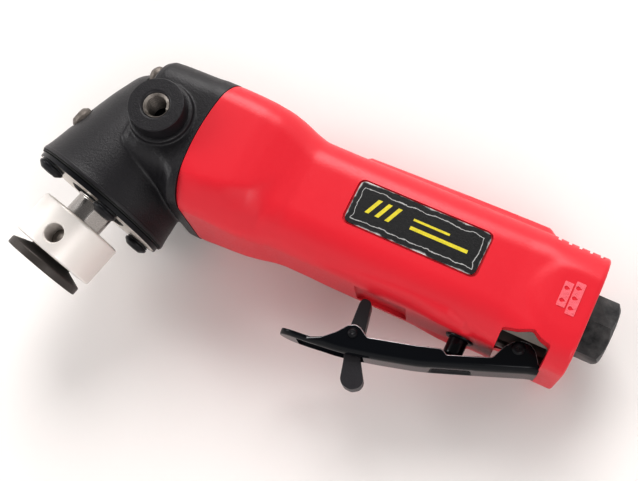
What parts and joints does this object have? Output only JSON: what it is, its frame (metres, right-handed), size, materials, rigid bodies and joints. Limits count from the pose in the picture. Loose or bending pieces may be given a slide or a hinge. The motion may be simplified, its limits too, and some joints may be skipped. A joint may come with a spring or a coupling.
{
  "type": "pneumatic angle die grinder",
  "caption": "Pneumatic angle die grinder with red grip, black cast head, drum hub and clamp flange on the spindle, and a throttle lever with a folding safety latch.",
  "frame": {"origin": "centre of the clamp flange's outer face, where a wheel or pad is clamped", "axes": "+X along the handle towards the air inlet, +Y towards the back of the tool, away from the throttle lever, +Z across the tool, up as it lies on its side"},
  "size_m": [0.1964, 0.0842, 0.0656],
  "materials": {
    "cast_black": "satin black enamel over a fine-grained cast body",
    "zinc_plate": "bright turned plate",
    "black_oxide": "black oxide, oiled",
    "bright_steel": "ground and machined bright steel",
    "hub_aluminium": "fine satin, clear anodised",
    "flange_steel": "dark phosphate steel, worn on the rim",
    "red_composite": "satin moulded composite with a soft sheen",
    "motor_steel": "machined housing steel, oiled",
    "gloss_black": "gloss black enamel worn to metal along the edges",
    "latch_steel": "dark grey satin enamel",
    "vane_resin": "cotton-filled resin",
    "seal_rubber": "nitrile rubber",
    "label_black": "printed label, scuffed edges"
  },
  "bodies": {
    "tool_body": {"gear_housing": "cast_black", "cover_gasket": "seal_rubber", "bearing_cover": "zinc_plate", "cover_washer_1": "black_oxide", "cover_washer_2": "black_oxide", "cover_washer_3": "black_oxide", "cover_washer_4": "black_oxide", "cover_screw_1": "black_oxide", "cover_screw_2": "black_oxide", "cover_screw_3": "black_oxide", "cover_screw_4": "black_oxide", "head_screw_1": "bright_steel", "head_screw_2": "bright_steel", "head_screw_3": "bright_steel", "head_screw_4": "bright_steel", "grease_screw": "bright_steel", "upper_spindle_bearing": "bright_steel", "lower_spindle_bearing": "bright_steel", "spindle_seal": "seal_rubber", "motor_housing": "motor_steel", "front_rotor_bearing": "bright_steel", "rear_rotor_bearing": "bright_steel", "front_end_plate": "motor_steel", "rear_end_plate": "motor_steel", "cylinder_liner": "motor_steel", "grip_cover": "red_composite", "nameplate": "label_black", "valve_bushing": "black_oxide", "valve_spring": "bright_steel", "inlet_bushing": "black_oxide", "inlet_screen": "bright_steel", "inlet_seal": "seal_rubber", "lever_pin": "black_oxide"},
    "output_spindle": {"spindle": "bright_steel", "bevel_gear": "bright_steel", "drum_hub": "hub_aluminium", "clamp_flange": "flange_steel"},
    "motor_rotor": {"rotor": "bright_steel", "pinion": "bright_steel", "rotor_vane_1": "vane_resin", "rotor_vane_2": "vane_resin", "rotor_vane_3": "vane_resin", "rotor_vane_4": "vane_resin", "rotor_vane_5": "vane_resin"},
    "throttle": {"throttle_lever": "gloss_black", "latch_pin": "black_oxide", "latch_spring": "bright_steel"},
    "safety_latch": {"latch": "latch_steel"},
    "throttle_valve": {"valve_stem": "black_oxide"}
  },
  "joints": [
    {"name": "spindle_spin", "type": "hinge", "parent": "tool_body", "child": "output_spindle", "pos_m": [0, 0, 0], "axis": [-0.2334, -0.9724, 0], "continuous": true},
    {"name": "rotor_spin", "type": "hinge", "parent": "tool_body", "child": "motor_rotor", "pos_m": [0.06382, 0.05756, 0], "axis": [1, 0, 0], "continuous": true},
    {"name": "lever_squeeze", "type": "hinge", "parent": "tool_body", "child": "throttle", "pos_m": [0.15462, 0.04056, 0], "axis": [0, 0, -1], "range_deg": [0, 9], "stiffness_Nm_per_rad": 2},
    {"name": "latch_fold", "type": "hinge", "parent": "throttle", "child": "safety_latch", "pos_m": [0.10652, 0.02336, 0], "axis": [0, 0, -1], "range_deg": [0, 73.8]},
    {"name": "valve_slide", "type": "slide", "parent": "tool_body", "child": "throttle_valve", "axis": [0, 1, 0], "range_m": [0, 0.00354], "deforming": ["valve_spring"]}
  ],
  "couplings": [
    {"joint": "rotor_spin", "follows": "spindle_spin", "ratio": -2.1818},
    {"joint": "latch_fold", "follows": "lever_squeeze", "ratio": 8.2},
    {"joint": "valve_slide", "follows": "lever_squeeze", "m_per_rad": 0.0225}
  ]
}
